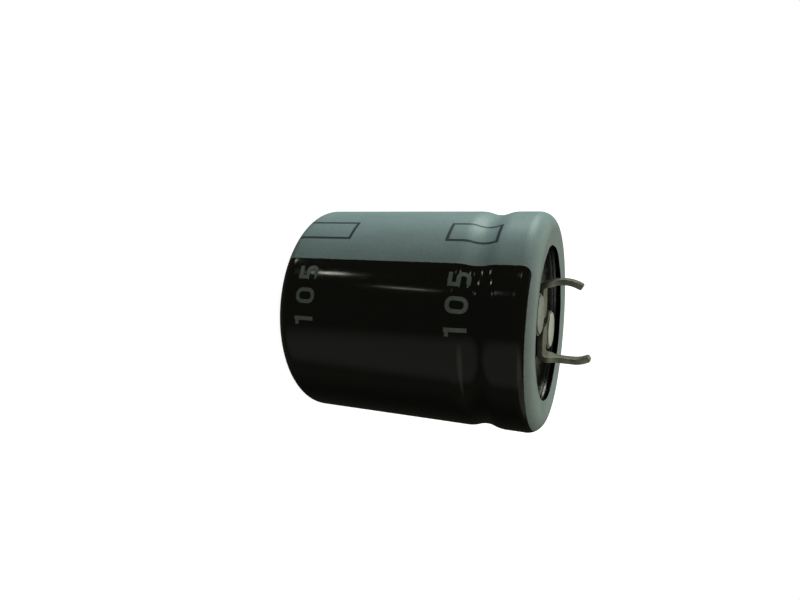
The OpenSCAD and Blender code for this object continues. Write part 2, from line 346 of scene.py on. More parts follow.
class Wiring:
    """Adds and joins the nodes of one material or world."""

    def __init__(self, owner):
        owner.use_nodes = True
        self.owner = owner
        self.tree = owner.node_tree
        self.tree.nodes.clear()

    def add(self, kind, inputs=None, **settings):
        """A node with its settings, and its inputs set or joined."""
        node = self.tree.nodes.new(kind)
        for name, value in settings.items():
            setattr(node, name, value)
        for key, value in (inputs or {}).items():
            self.join(value, node.inputs[key])
        return node

    def join(self, value, socket):
        if isinstance(value, bpy.types.NodeSocket):
            self.tree.links.new(value, socket)
        else:
            socket.default_value = value

    def math(self, operation, *values):
        return self.add("ShaderNodeMath", dict(enumerate(values)), operation=operation).outputs[0]

    def plus(self, first, second):
        return self.math("ADD", first, second)

    def minus(self, first, second):
        return self.math("SUBTRACT", first, second)

    def times(self, first, second):
        return self.math("MULTIPLY", first, second)

    def vector(self, operation, inputs):
        return self.add("ShaderNodeVectorMath", inputs, operation=operation).outputs[0]

    def highest(self, first, *others):
        for other in others:
            first = self.math("MAXIMUM", first, other)
        return first

    def lowest(self, first, *others):
        for other in others:
            first = self.math("MINIMUM", first, other)
        return first

    def dot(self, vector, fixed):
        node = self.add(
            "ShaderNodeVectorMath", {0: vector, 1: tuple(fixed)}, operation="DOT_PRODUCT")
        return node.outputs["Value"]

    def squares(self, x, y):
        return self.math("ADD", self.math("POWER", x, 2.0), self.math("POWER", y, 2.0))

    def distance(self, x, y):
        """Distance from 0 to a point x across and y up."""
        return self.math("SQRT", self.squares(x, y))

    def step(self, value, low, high, at_low=0.0, at_high=1.0):
        """A smooth step from at_low to at_high, as value goes from low to high."""
        inputs = {
            "Value": value, "From Min": low, "From Max": high, "To Min": at_low, "To Max": at_high}
        return self.add("ShaderNodeMapRange", inputs, interpolation_type="SMOOTHSTEP").outputs[0]

    def blend(self, factor, first, second):
        """The first colour where factor is 0 and the second where it is 1."""
        node = self.add("ShaderNodeMix", {0: factor}, data_type="RGBA")
        for tone, socket in ((first, MIX_FIRST), (second, MIX_SECOND)):
            if not isinstance(tone, bpy.types.NodeSocket):
                tone = (*tone[:3], 1.0)
            self.join(tone, node.inputs[socket])
        return node.outputs[MIX_RESULT]

    def object_place(self):
        """Place on the piece, in millimetres."""
        place = self.add("ShaderNodeTexCoord").outputs["Object"]
        return self.vector("SCALE", {0: place, "Scale": 1 / MM})

    def parts(self, place):
        """The x, y and z of a place."""
        return self.add("ShaderNodeSeparateXYZ", {0: place}).outputs

    def stretch(self, place, factors):
        return self.vector("MULTIPLY", {0: place, 1: factors})

    def grain(self, place, scale, detail=3.0, roughness=0.5):
        """Noise from about 0.3 to 0.7, with the given number of spots in a millimetre."""
        inputs = {"Vector": place, "Scale": scale, "Detail": detail, "Roughness": roughness}
        return self.add("ShaderNodeTexNoise", inputs).outputs["Fac"]

    def bump(self, height, distance, below=None):
        """A normal from a height of 0 to 1, which stands for the distance given in mm."""
        inputs = {"Height": height, "Distance": distance * MM, "Strength": 1.0}
        if below:
            inputs["Normal"] = below
        return self.add("ShaderNodeBump", inputs).outputs[0]

    def finish(self, **sockets):
        """Adds the surface shader, with its sockets set by name, and gives back the material."""
        inputs = {name.replace("_", " "): value for name, value in sockets.items()}
        shader = self.add("ShaderNodeBsdfPrincipled", inputs)
        self.add("ShaderNodeOutputMaterial", {"Surface": shader.outputs[0]})
        return self.owner


def new_material(name):
    """What wires a new material, which starts with no nodes."""
    return Wiring(bpy.data.materials.new(name))


def finish_nodes(material, *names):
    """Gives CAD nodes their finish."""
    for node in (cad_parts[name] for name in names):
        if not node.material_slots:
            node.data.materials.append(material)
        for slot in node.material_slots:
            slot.material = material


def scaled(tone, factor):
    """A colour with its channels times a factor, up to 1."""
    return tuple(min(1.0, factor * channel) for channel in tone)


def bar(w, across, up, left, right, low, high):
    """Signed distance to an upright bar, in millimetres, below 0 inside it."""
    return w.highest(
        w.minus(left, across), w.minus(across, right),
        w.minus(low, up), w.minus(up, high))


def round_corner(w, x, y, radius):
    """Signed distance to a rounded corner, from the distances to its two middle lines."""
    far = w.distance(w.math("MAXIMUM", x, 0.0), w.math("MAXIMUM", y, 0.0))
    near = w.math("MINIMUM", w.math("MAXIMUM", x, y), 0.0)
    return w.minus(w.plus(far, near), radius)


def rounded(w, across, up, half_w, half_h, radius):
    """Signed distance to a rounded box about 0, in millimetres."""
    x = w.minus(w.math("ABSOLUTE", across), half_w - radius)
    y = w.minus(w.math("ABSOLUTE", up), half_h - radius)
    return round_corner(w, x, y, radius)


def outlined(w, distance, line):
    """Signed distance to a line drawn just inside an outline."""
    middle = w.plus(distance, line / 2)
    return w.minus(w.math("ABSOLUTE", middle), line / 2)


def digit_one(w, across, up, wide, high, stroke):
    """A one: an upright with a flag at its top."""
    middle = wide * 0.55
    upright = bar(w, across, up, middle - stroke / 2, middle + stroke / 2, 0.0, high)
    flag = bar(
        w, across, up, middle - 1.6 * stroke, middle, high - 1.25 * stroke, high - 0.25 * stroke)
    return w.lowest(upright, flag)


def digit_zero(w, across, up, wide, high, stroke):
    """A zero: one rounded outline."""
    x = w.minus(across, wide / 2)
    y = w.minus(up, high / 2)
    return outlined(w, rounded(w, x, y, wide / 2, high / 2, wide * 0.46), stroke)


def digit_five(w, across, up, wide, high, stroke):
    """A five: top bar, short upright and an open bowl."""
    top = bar(w, across, up, 0.08 * wide, 0.95 * wide, high - stroke, high)
    upright = bar(w, across, up, 0.08 * wide, 0.08 * wide + stroke, high * 0.45, high)
    bowl_h = high * 0.62
    x = w.minus(across, wide / 2)
    y = w.minus(up, bowl_h / 2)
    bowl = outlined(w, rounded(w, x, y, wide / 2, bowl_h / 2, bowl_h * 0.46), stroke)
    gap = bar(w, across, up, -wide, 0.3 * wide, 0.24 * bowl_h, 0.72 * bowl_h)
    return w.lowest(top, upright, w.math("MAXIMUM", bowl, w.times(gap, -1.0)))


def film_places(w):
    """Place in millimetres, way round the can from the stripe's middle to either side, and z."""
    place = w.object_place()
    x, y, z = w.parts(place)
    turn = w.math("ARCTAN2", w.times(y, -1.0), w.times(x, -1.0))
    return place, w.times(turn, SLEEVE_R / MM), z


def edge_share(w, distance):
    """1 inside an outline, 0 outside it, from its signed distance."""
    return w.step(distance, -PRINT_BLUR, PRINT_BLUR, 1.0, 0.0)


def stripe_share(w, sizes, round_way, z, wander):
    """1 on the printed stripe and ring, 0 on the black field."""
    corner = sizes.ring_corner / MM
    field_edge = sizes.stripe_half * SLEEVE_R / MM
    field_top = (RIM_Z - sizes.ring_height) / MM
    side = w.math("ABSOLUTE", round_way)
    # The film shrank a little askew, so the ring is wider on the far side from the stripe.
    turn = w.minus(w.math("DIVIDE", round_way, SLEEVE_R / MM), 1.0)
    z = w.plus(z, w.times(w.math("SINE", turn), sizes.ring_skew / MM))
    x = w.math("MAXIMUM", w.minus(field_edge + corner, side), -corner)
    y = w.minus(z, field_top - corner)
    field = round_corner(w, x, y, corner)
    return w.minus(1.0, edge_share(w, w.plus(field, wander)))


def marks_share(w, sizes, side, z):
    """1 on the lines of the outlined marks in both rows of the stripe."""
    across = w.minus(side, sizes.mark_at * SLEEVE_R / MM)
    half_w = sizes.mark_width / 2 / MM
    # The lower mark runs off the wall and under the base.
    upper_top = sizes.mark_top / MM
    lower_top = (sizes.mark_top - sizes.mark_step) / MM
    shares = []
    for top, reach in ((upper_top, sizes.mark_length / MM), (lower_top, lower_top + 2.0)):
        up = w.minus(z, top - reach / 2)
        box = rounded(w, across, up, half_w, reach / 2, MARK_CORNER)
        shares.append(edge_share(w, outlined(w, box, sizes.line / MM)))
    return w.highest(*shares)


def numbers_share(w, sizes, round_way, z):
    """1 on the plain numbers, which read up along the can's girth at two heights."""
    step = sizes.field_step / MM
    lower = w.math("LESS_THAN", z, (sizes.field_top - sizes.field_step / 2) / MM)
    level = w.plus(z, w.times(lower, step))
    up = w.minus(sizes.field_top / MM, level)
    start = w.minus(sizes.field_start * SLEEVE_R / MM, round_way)
    glyphs = []
    for i, digit in enumerate((digit_one, digit_zero, digit_five)):
        across = w.minus(start, i * sizes.digit_pitch / MM)
        glyphs.append(digit(
            w, across, up, sizes.digit_width / MM, sizes.digit_height / MM, sizes.stroke / MM))
    return edge_share(w, w.lowest(*glyphs))


def printed_film(sizes, colours):
    """The outside of the film: glossy black, with the stripe, its marks, the ring and the numbers."""
    w = new_material("printed_film")
    place, round_way, z = film_places(w)
    fine = w.grain(place, 1.6, 4.0)
    wander = w.times(w.minus(fine, 0.5), 0.12)
    stripe = stripe_share(w, sizes, round_way, z, wander)
    marks = marks_share(w, sizes, w.math("ABSOLUTE", round_way), z)
    numbers = w.times(numbers_share(w, sizes, round_way, z), 0.92)

    # The print is thin in places, and the film shows through it a little.
    cloud = w.grain(w.stretch(place, (1.0, 1.0, 0.5)), 0.35, 5.0, 0.6)
    cover = w.step(cloud, 0.25, 0.7, 0.90, 1.0)
    mottle = w.step(w.grain(place, 3.2, 4.0, 0.65), 0.3, 0.7, 0.86, 1.0)
    grey = w.blend(w.times(cover, mottle), colours.black, colours.stripe)
    grey = w.blend(w.times(marks, 0.9), grey, colours.line)
    dark = w.blend(w.times(numbers, mottle), colours.black, colours.digit)

    inked = w.highest(stripe, numbers)
    smear = w.step(w.grain(place, 0.5, 4.0, 0.6), 0.35, 0.65, 0.0, 0.03)
    bare_gloss = w.plus(colours.gloss, smear)
    print_gloss = w.times(inked, colours.print_gloss - colours.gloss)
    ripple = w.bump(w.grain(place, 0.9, 2.0), 0.0015)
    skin = w.bump(w.grain(place, 9.0, 3.0), 0.0006, ripple)
    return w.finish(
        Base_Color=w.blend(stripe, dark, grey), Roughness=w.plus(print_gloss, bare_gloss),
        IOR=FILM_IOR, Normal=w.bump(inked, 0.004, skin))


def bare_film(colours):
    """The cut edges and the inside of the film, without print."""
    w = new_material("bare_film")
    place = w.object_place()
    cloud = w.step(w.grain(place, 2.0, 4.0), 0.3, 0.7, 0.0, 1.0)
    return w.finish(
        Base_Color=w.blend(cloud, scaled(colours.black, 0.7), colours.black),
        Roughness=w.step(w.grain(place, 1.1, 3.0), 0.3, 0.7, 0.12, 0.24),
        IOR=FILM_IOR, Normal=w.bump(w.grain(place, 5.0, 3.0), 0.002))


def film_outline(sizes):
    """Outline of the film as (radius, z) points: the outside from base to lip, then the inside."""
    half = sizes.groove_width / 2
    middle = RIM_Z - sizes.groove_drop
    bend = (sizes.groove_depth ** 2 + half ** 2) / (4 * sizes.groove_depth)
    turn = math.degrees(math.acos(1 - sizes.groove_depth / (2 * bend)))
    curl_at = CAN_R - sizes.shoulder
    curl = RIM_Z - SEAT_Z
    lip_turn = 90 + math.degrees(sizes.lip_slope)

    def side(off, wall_steps, steps):
        """One face of the film, off away from the can, from the base to the lip's start."""
        corner_at = (CAN_R - sizes.corner, FILM_T + sizes.corner)
        corner = arc(corner_at, sizes.corner + off, -90, 0, steps)
        groove = arc((CAN_R - bend, middle - half), bend + off, 0, turn, steps)
        hollow_at = (CAN_R - sizes.groove_depth + bend, middle)
        groove += arc(hollow_at, bend - off, 180 + turn, 180 - turn, 2 * steps)[1:]
        groove += arc((CAN_R - bend, middle + half), bend + off, -turn, 0, steps)[1:]
        shoulder_at = (curl_at, RIM_Z - sizes.shoulder)
        shoulder = arc(shoulder_at, sizes.shoulder + off, 0, 90, 2 * steps)
        rim = arc((curl_at, SEAT_Z), curl + off, 90, lip_turn, steps)[1:]
        wall = line_points(corner[-1], groove[0], wall_steps)
        neck = line_points(groove[-1], shoulder[0], steps)
        return corner + wall + groove + neck + shoulder + rim

    outside = side(FILM_T, 40, 10)
    inside = side(0.0, 6, 6)
    reach = outside[-1][0] - (curl_at - curl - sizes.lip_reach)
    fall = reach * math.tan(sizes.lip_slope)

    def lip(start, steps):
        end = (start[0] - reach, start[1] - fall)
        return line_points(start, end, steps) + [end]

    fold = (CAN_R - sizes.corner - sizes.base_lap, 0.0)
    outside = [fold] + line_points(fold, outside[0], 5) + outside + lip(outside[-1], 8)
    inside = [(fold[0], FILM_T)] + inside + lip(inside[-1], 4)
    return outside, inside[::-1]


def film_shift(sizes, outside_count):
    """How the film's points move off the true form: slow waves, puckers and an uneven lip."""
    seed = Vector((3.1, 7.7, 1.9))
    corner_top = sizes.corner + FILM_T
    pucker_top = 1.6 * corner_top
    flat = CAN_R - sizes.corner
    fold = flat - sizes.base_lap
    lip_start = CAN_R - sizes.shoulder - (RIM_Z - SEAT_Z) * 0.3

    def shift(k, r, z, turn):
        out = Vector((math.cos(turn), math.sin(turn), 0.0))
        dr = dz = 0.0
        if k < outside_count and r > flat and z < RIM_Z - sizes.shoulder:
            # Slow waves on the wall, with finer ones on top.
            at = out * 1.9 + Vector((0, 0, z / (9 * MM)))
            dr -= sizes.wave * (1 + noise.noise(at + seed)) * min(1.0, z / corner_top)
            dr -= 0.35 * sizes.wave * (1 + noise.noise(at * 3 + seed))
        if k < outside_count and z < pucker_top:
            # Puckers at the base corner, which fade up the wall.
            folds = noise.noise(out * 9.5 + seed) + 0.5 * noise.noise(out * 21 - seed)
            low = 1 - z / pucker_top
            depth = sizes.pucker * max(0.0, folds) * low * low
            dr -= depth * min(1.0, z / corner_top)
            dz += depth * 0.6 if r < flat + 0.5 * sizes.corner else 0.0
        if z < RIM_Z / 2 and r < flat:
            # The ragged edge of the fold on the base.
            ragged = noise.noise(out * 4.0 - seed) + 0.4 * noise.noise(out * 15 + seed)
            dr += 0.18 * MM * ragged * (flat - r) / (flat - fold)
        if z > RIM_Z / 2 and r < lip_start:
            # The lip wanders, more towards its edge.
            inward = min(1.0, (lip_start - r) / (1.6 * MM))
            wander = noise.noise(out * 2.3 + seed) + 0.45 * noise.noise(out * 7.5 - seed)
            dr += sizes.lip_wave * (wander + 0.35) * inward * inward
            dz += 0.6 * sizes.lip_wave * noise.noise(out * 3.1 - seed * 2) * inward * inward
        return dr, dz

    return shift


def make_sleeve():
    """The film as one closed shell, with print outside and bare film on its edges and inside."""
    scene = bpy.context.scene
    printed = printed_film(scene.capacitor_print, scene.capacitor_colours)
    bare = bare_film(scene.capacitor_colours)
    outside, inside = film_outline(scene.capacitor_film)
    outline = outside + inside
    shift = film_shift(scene.capacitor_film, len(outside))
    mesh = revolve("sleeve_film", outline, FILM_SEGMENTS, shift)
    new_piece("sleeve_film", mesh, "sleeve", "sleeve_film", printed, bare)
    for i, face in enumerate(mesh.polygons):
        face.material_index = 0 if i % len(outline) < len(outside) - 1 else 1
    smooth(mesh, 40)


def blade_place(form, along):
    """How far the blade stands from the axis at a share of its free height."""
    if along < form.belly:
        return form.root + form.bow * (1 - (1 - along / form.belly) ** 2)
    return form.root + form.bow - form.hook * ((along - form.belly) / (1 - form.belly)) ** 2


def blade_half_width(sizes, form, z):
    """Half of the blade's width at height z above the rubber."""
    if z < sizes.root_height:
        return sizes.root_width / 2
    if z < sizes.root_height + sizes.taper:
        down = (z - sizes.root_height) / sizes.taper
        ease = down * down * (3 - 2 * down)
        return (sizes.root_width + (sizes.width - sizes.root_width) * ease) / 2
    past = max(0.0, z - (form.height - sizes.tip))
    return sizes.width / 2 - sizes.tip + math.sqrt(max(0.0, sizes.tip ** 2 - past ** 2))


def blade_path(sizes, form):
    """Middle line of the strip as (x, z) points, from its foot to its tip."""
    level = sizes.sheet / 2
    rise = level + sizes.bend
    path = line_points((RIVET_AT.x - sizes.arm / 4, level), (form.root - sizes.bend, level), 4)
    path += arc((form.root - sizes.bend, rise), sizes.bend, -90, 0, 18)
    # The hooked tip leans, so its middle ends below its outer edge.
    lean = math.atan(2 * form.hook / (1 - form.belly) / (form.height - rise))
    top = form.height - TIP_THICKNESS / 2 * sizes.sheet * math.sin(lean)
    for i in range(1, BLADE_STEPS + 1):
        path.append((blade_place(form, i / BLADE_STEPS), rise + (top - rise) * i / BLADE_STEPS))
    return path


def blade_mesh(sizes, form):
    """The bent strip from the foot to the tip, as a closed solid with rounded edges."""
    path = blade_path(sizes, form)
    edge = sizes.edge
    mesh = bmesh.new()
    loops = []
    for i, (x, z) in enumerate(path):
        a, b = path[max(i - 1, 0)], path[min(i + 1, len(path) - 1)]
        run = Vector((b[0] - a[0], b[1] - a[1])).normalized()
        half_w = blade_half_width(sizes, form, z) if i >= FLAT_POINTS else sizes.root_width / 2
        end = min(1.0, (len(path) - 1 - i) / TIP_RINGS)
        half_t = sizes.sheet / 2 * (TIP_THICKNESS + (1 - TIP_THICKNESS) * math.sqrt(end))
        ring = []
        for cx, cy, start in ((1, 1, 0), (-1, 1, 90), (-1, -1, 180), (1, -1, 270)):
            middle = (cx * (half_w - edge), cy * (half_t - edge))
            for off_w, off_t in arc(middle, edge, start, start + 90, 3):
                ring.append(mesh.verts.new((x - run.y * off_t, off_w, z + run.x * off_t)))
        loops.append(ring)
    for low, high in zip(loops, loops[1:]):
        for k in range(len(low)):
            m = (k + 1) % len(low)
            mesh.faces.new((low[k], low[m], high[m], high[k]))
    mesh.faces.new(loops[0][::-1])
    mesh.faces.new(loops[-1])
    return mesh


def circle(centre, radius, count):
    """Points round a circle."""
    return arc(centre, radius, 0, 360 - 360 / count, count - 1)


def add_plate(mesh, outline, thickness):
    """Adds a flat plate with the given outline to a bmesh, from z = 0 upwards."""
    bottom = [mesh.verts.new((x, y, 0.0)) for x, y in outline]
    top = [mesh.verts.new((x, y, thickness)) for x, y in outline]
    mesh.faces.new(bottom[::-1])
    mesh.faces.new(top)
    for k in range(len(outline)):
        m = (k + 1) % len(outline)
        mesh.faces.new((bottom[k], bottom[m], top[m], top[k]))


def bore_cutter(name, sizes, x, y):
    """A plug that cuts the rivet's hole through the eye."""
    low, high = -sizes.sheet, 2 * sizes.sheet
    plug = spindle(name, [(0, low), (sizes.bore, low), (sizes.bore, high), (0, high)], BORE_SEGMENTS)
    plug.transform(Matrix.Translation((x, y, 0.0)))
    return new_object(name, plug)


def terminal_mesh(name, sizes, form):
    """The stamping for the +X side: blade, foot, arm and eye joined into one mesh and bored."""
    x, y = abs(RIVET_AT.x), abs(RIVET_AT.y)
    half = sizes.arm / 2
    mesh = blade_mesh(sizes, form)
    foot = circle((x, 0.0), sizes.root_width / 2, 48)
    arm = [(x - half, 0.0), (x + half, 0.0), (x + half, y), (x - half, y)]
    eye = circle((x, y), sizes.eye, 96)
    for outline in (foot, arm, eye):
        add_plate(mesh, outline, sizes.sheet)
    bmesh.ops.recalc_face_normals(mesh, faces=mesh.faces)
    data = bpy.data.meshes.new(name + "_parts")
    mesh.to_mesh(data)
    mesh.free()
    parts = new_object(name + "_parts", data)
    join = parts.modifiers.new("join", "REMESH")
    join.mode = "VOXEL"
    join.voxel_size = sizes.voxel
    soften = parts.modifiers.new("soften", "SMOOTH")
    soften.factor = 0.5
    soften.iterations = 4
    cutter = bore_cutter(name + "_bore", sizes, x, y)
    bore = parts.modifiers.new("bore", "BOOLEAN")
    bore.operation = "DIFFERENCE"
    bore.solver = "EXACT"
    bore.object = cutter
    graph = bpy.context.evaluated_depsgraph_get()
    joined = bpy.data.meshes.new_from_object(parts.evaluated_get(graph))
    joined.name = name
    for scratch in (parts, cutter):
        bpy.data.objects.remove(scratch)
    return joined


def tin_material(colours):
    """Dull tin on sheet steel: fine rolling lines, dark specks, a painted highlight on the blades'
    lower part and painted shade on the arms by the rubber.
    """
    w = new_material("dull_tin")
    place = w.object_place()
    height = w.parts(place)[2]
    seat = SEAT_Z / MM
    cloud = w.step(w.grain(place, 0.8, 5.0, 0.65), 0.32, 0.68, 0.0, 1.0)
    base = w.blend(cloud, scaled(colours.tin, 0.55), colours.tin)
    # Painted highlight: the blade's lower part, round the bend, is lighter than the tin, where the bend
    # catches the light.
    root = w.step(height, seat + 1.4, seat + 3.6, 0.2, 0.0)
    base = w.blend(root, base, scaled(colours.tin, 1.35))
    # Painted shade: the flat arms and the foot next to the rubber are darkened, where the recess shades
    # them.
    base = w.blend(w.step(height, seat + 0.9, seat + 1.5, 0.4, 0.0), base, BLACK)
    specks = w.step(w.grain(place, 7.0, 4.0, 0.7), 0.60, 0.70, 0.0, 0.55)
    base = w.blend(specks, base, scaled(colours.tin, 0.3))
    gloss = w.step(cloud, 0.0, 1.0, 0.52, 0.42)
    lines = w.grain(w.stretch(place, (14.0, 14.0, 1.2)), 1.0, 3.0)
    dimples = w.bump(w.grain(place, 2.2, 4.0), 0.012)
    rolled = w.bump(lines, 0.003, dimples)
    return w.finish(Base_Color=base, Metallic=1.0, Roughness=gloss, Normal=rolled)


def make_terminals():
    """The two stamped terminals, each made for the +X side and turned into place."""
    scene = bpy.context.scene
    tin = tin_material(scene.capacitor_metals)
    forms = (
        ("positive", scene.capacitor_positive, 0.0),
        ("negative", scene.capacitor_negative, math.pi))
    for side, form, turn in forms:
        mesh = terminal_mesh("blade_" + side, scene.capacitor_blades, form)
        place = Matrix.Rotation(turn, 4, "Z")
        place.translation = (0.0, 0.0, SEAT_Z)
        mesh.transform(place)
        smooth(mesh, 60)
        new_piece("blade_" + side, mesh, "terminal_" + side, "tinned_metal", tin)


def rivet_outline(sizes):
    """Outline of a rivet whose top is at z = 0, from the inner head's middle to the outer head's."""
    under = -sizes.head_height
    tail_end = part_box("rivet_positive")[0].z - RIVET_TOP
    tail_top = tail_end + sizes.tail_height
    edge, crown, dip = RIVET_EDGE, RIVET_CROWN, RIVET_DIP
    outline = [(0.0, tail_end)]
    outline += arc((sizes.tail - edge, tail_end + edge), edge, -90, 0, 5)
    outline += [
        (sizes.tail, tail_top), (sizes.shank, tail_top), (sizes.shank, under), (sizes.head, under)]
    outline += arc((sizes.head - edge, -crown - edge), edge, 0, 60, 6)
    outline += line_points(outline[-1], (sizes.mark + edge, 0.0), 6)
    outline += arc((sizes.mark + edge, -edge), edge, 90, 150, 5)
    outline += arc((sizes.mark - 1.2 * edge, 0.3 * edge - dip), 0.3 * edge, -30, -90, 3)
    outline.append((0.0, -dip))
    return outline


def rivet_material(colours):
    """Bright pressed aluminium with faint rings from the setting tool."""
    w = new_material("pressed_aluminium")
    place = w.object_place()
    x, y, _ = w.parts(place)
    reach = [
        w.distance(
            w.minus(x, side * RIVET_AT.x / MM), w.minus(y, side * RIVET_AT.y / MM))
        for side in (1, -1)]
    rings = w.math("SINE", w.times(w.lowest(*reach), 46.0))
    worn = w.step(w.grain(place, 1.4, 5.0, 0.65), 0.35, 0.65, 0.0, 1.0)
    base = w.blend(w.times(worn, 0.15), colours.rivet, scaled(colours.rivet, 0.62))
    # Painted shade: the rivet on the -Y side, towards the camera, is darkened, where the film's lip
    # shades it.
    near_rivet_shade = w.times(w.math("LESS_THAN", y, 0.0), 0.38)
    base = w.blend(near_rivet_shade, base, BLACK)
    gloss = w.step(worn, 0.0, 1.0, 0.48, 0.55)
    spun = w.bump(rings, 0.0005)
    pressed = w.bump(w.grain(place, 2.0, 3.0), 0.003, spun)
    return w.finish(Base_Color=base, Metallic=1.0, Roughness=gloss, Normal=pressed)


def make_rivets():
    """The two rivets, point-symmetric about the can's axis."""
    scene = bpy.context.scene
    bright = rivet_material(scene.capacitor_metals)
    outline = rivet_outline(scene.capacitor_rivets)
    for name, side in (("positive", 1), ("negative", -1)):
        mesh = spindle("rivet_head_" + name, outline, RIVET_SEGMENTS)
        mesh.transform(Matrix.Translation((side * RIVET_AT.x, side * RIVET_AT.y, RIVET_TOP)))
        smooth(mesh, 50)
        new_piece("rivet_head_" + name, mesh, "rivet_" + name, "rivet_aluminium", bright)


def can_material(colours):
    """Drawn aluminium: satin, with lines along the wall and rings on the base."""
    w = new_material("drawn_aluminium")
    place = w.object_place()
    x, y, z = w.parts(place)
    way_out = w.times(w.distance(x, y), 5.0)
    rings = w.add(
        "ShaderNodeTexNoise", {"W": way_out, "Scale": 1.0, "Detail": 4.0},
        noise_dimensions="1D").outputs["Fac"]
    cloud = w.step(w.grain(place, 0.35, 5.0, 0.6), 0.3, 0.7, 0.0, 1.0)
    base = w.blend(w.times(cloud, 0.3), colours.can, scaled(colours.can, 0.72))
    # Painted shade: the rolled curl at the rim, under the film's lip, is darkened nearly to black.
    curl_z = SEAT_Z / MM - 0.2
    curl = w.step(z, curl_z, curl_z + 0.4, 0.0, 0.9)
    base = w.blend(curl, base, scaled(colours.can, 0.08))
    gloss = w.step(w.grain(place, 1.2, 4.0), 0.3, 0.7, 0.26, 0.42)
    gloss = w.minus(gloss, w.times(curl, 0.14))
    drawn = w.grain(w.stretch(place, (6.0, 6.0, 0.4)), 1.0, 3.0)
    drawn = w.times(drawn, w.minus(1.0, curl))
    lines = w.bump(drawn, 0.003, w.bump(rings, 0.004))
    return w.finish(Base_Color=base, Metallic=1.0, Roughness=gloss, Normal=lines)


def rubber_material(colours):
    """Black moulded rubber with a faint bloom."""
    w = new_material("seal_rubber")
    place = w.object_place()
    bloom = w.step(w.grain(place, 0.7, 5.0, 0.65), 0.4, 0.7, 0.0, 0.35)
    base = w.blend(bloom, colours.rubber, scaled(colours.rubber, 2.1))
    gloss = w.step(w.grain(place, 1.5, 4.0), 0.3, 0.7, 0.14, 0.24)
    rough = w.bump(w.grain(place, 3.0, 3.0), 0.0015)
    return w.finish(Base_Color=base, Roughness=gloss, IOR=1.5, Normal=rough)


def board_material(colours):
    """Brown paper laminate with a fibre grain."""
    w = new_material("paper_laminate")
    place = w.stretch(w.object_place(), (0.6, 3.0, 3.0))
    fibre = w.step(w.grain(place, 1.2, 5.0, 0.7), 0.3, 0.7, 0.0, 1.0)
    base = w.blend(fibre, scaled(colours.board, 0.6), colours.board)
    return w.finish(Base_Color=base, Roughness=0.55, Normal=w.bump(fibre, 0.006))


def foil_material(colours):
    """Soft aluminium strip with rolling lines."""
    w = new_material("rolled_foil")
    lines = w.grain(w.stretch(w.object_place(), (1.0, 1.0, 12.0)), 1.5, 4.0)
    base = w.blend(w.step(lines, 0.3, 0.7), scaled(colours.foil, 0.7), colours.foil)
    return w.finish(Base_Color=base, Metallic=1.0, Roughness=0.35, Normal=w.bump(lines, 0.003))


def paper_material(colours):
    """Damp winding paper, with turns of foil that show as rings."""
    w = new_material("soaked_paper")
    place = w.object_place()
    x, y, _ = w.parts(place)
    rings = w.math("SINE", w.times(w.distance(x, y), 31.4))
    turns = w.step(rings, 0.2, 0.9, 0.0, 0.5)
    damp = w.step(w.grain(place, 0.6, 5.0, 0.65), 0.35, 0.65, 0.0, 0.5)
    base = w.blend(damp, colours.paper, scaled(colours.paper, 0.6))
    base = w.blend(turns, base, scaled(colours.paper, 0.45))
    gloss = w.step(damp, 0.0, 0.5, 0.6, 0.35)
    return w.finish(Base_Color=base, Roughness=gloss, Normal=w.bump(turns, 0.01))


def tape_material(colours):
    """Thin polyester tape with small wrinkles."""
    w = new_material("clear_tape")
    wrinkle = w.grain(w.stretch(w.object_place(), (1.0, 1.0, 3.0)), 0.8, 4.0)
    base = w.blend(w.step(wrinkle, 0.35, 0.65), scaled(colours.tape, 0.85), colours.tape)
    return w.finish(Base_Color=base, Roughness=0.22, IOR=1.5, Normal=w.bump(wrinkle, 0.01))


def make_hidden_finishes():
    """Finishes of the can and of all that it holds."""
    colours = bpy.context.scene.capacitor_metals
    foils = ("tab_negative", "washer_negative", "tab_positive", "washer_positive")
    finish_nodes(can_material(colours), "can")
    finish_nodes(board_material(colours), "terminal_board")
    finish_nodes(foil_material(colours), *foils)
    finish_nodes(paper_material(colours), "winding", "base_disc")
    finish_nodes(tape_material(colours), "winding_tape")


def direction(azimuth, elevation):
    """Unit vector from the object: azimuth turns from -X towards -Y, in degrees."""
    a, e = math.radians(azimuth), math.radians(elevation)
    return Vector((-math.cos(a) * math.cos(e), -math.sin(a) * math.cos(e), math.sin(e)))


# Lamps of the room that the glossy film mirrors as small lights.
# Each has its azimuth, elevation, half length, half width and tilt in degrees, and its brightness.
ROOM_LAMPS = (
    (37.2, -29.8, 1.5, 1.2, 90, 12.0),
    (50.4, -22.4, 2.8, 0.55, 73, 3.6),
    (49.8, -14.4, 0.9, 1.4, 90, 1.6),
    (30.4, -9.7, 0.8, 1.7, 90, 2.6),
    (30.7, 5.0, 2.4, 2.2, 90, 2.6),
    (22.2, -36.5, 2.3, 1.5, 90, 4.8),
    (122.0, 0.0, 24.0, 42.0, 0, 0.15),
    (150.0, 26.0, 38.0, 14.0, 0, 0.24),
    (-36.0, 2.0, 14.0, 14.0, 0, 3.0),
)


def lamp_share(w, way, azimuth, elevation, half_length, half_width, tilt):
    """1 where a direction falls on a small lamp, 0 elsewhere."""
    middle = direction(azimuth, elevation)
    level = Vector((0, 0, 1)).cross(middle).normalized()
    upright = middle.cross(level)
    t = math.radians(tilt)
    along = level * math.cos(t) + upright * math.sin(t)
    across = upright * math.cos(t) - level * math.sin(t)
    x = w.math("DIVIDE", w.dot(way, along), math.sin(math.radians(half_length)))
    y = w.math("DIVIDE", w.dot(way, across), math.sin(math.radians(half_width)))
    front = w.math("GREATER_THAN", w.dot(way, middle), 0.0)
    return w.times(w.step(w.squares(x, y), 0.5, 1.5, 1.0, 0.0), front)


